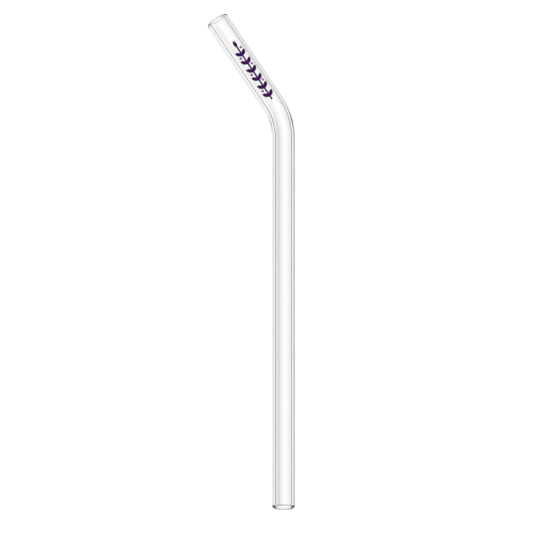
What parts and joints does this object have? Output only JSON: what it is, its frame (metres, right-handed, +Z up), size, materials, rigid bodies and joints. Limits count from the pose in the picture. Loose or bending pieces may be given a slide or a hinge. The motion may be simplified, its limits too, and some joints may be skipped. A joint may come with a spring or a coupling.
{
  "type": "glass straw",
  "caption": "Reusable drinking straw: one clear glass tube with a single bend near the mouth end, melted round rims and a small printed sprig.",
  "frame": {"origin": "on the table top, below the middle of the straw's outline as it lies flat", "axes": "+Y along the long leg towards the bend, +Z up out of the table, the mouth leg leans towards -X"},
  "size_m": [0.0342, 0.1984, 0.0091],
  "materials": {
    "glass": "clear, fire-polished",
    "dark_ink": "fired dark purple print, soft gloss",
    "light_ink": "fired mauve print, soft gloss"
  },
  "bodies": {
    "root": {"glass_tube": "glass", "leaf_print": "dark_ink", "berry_print": "light_ink"}
  },
  "joints": []
}
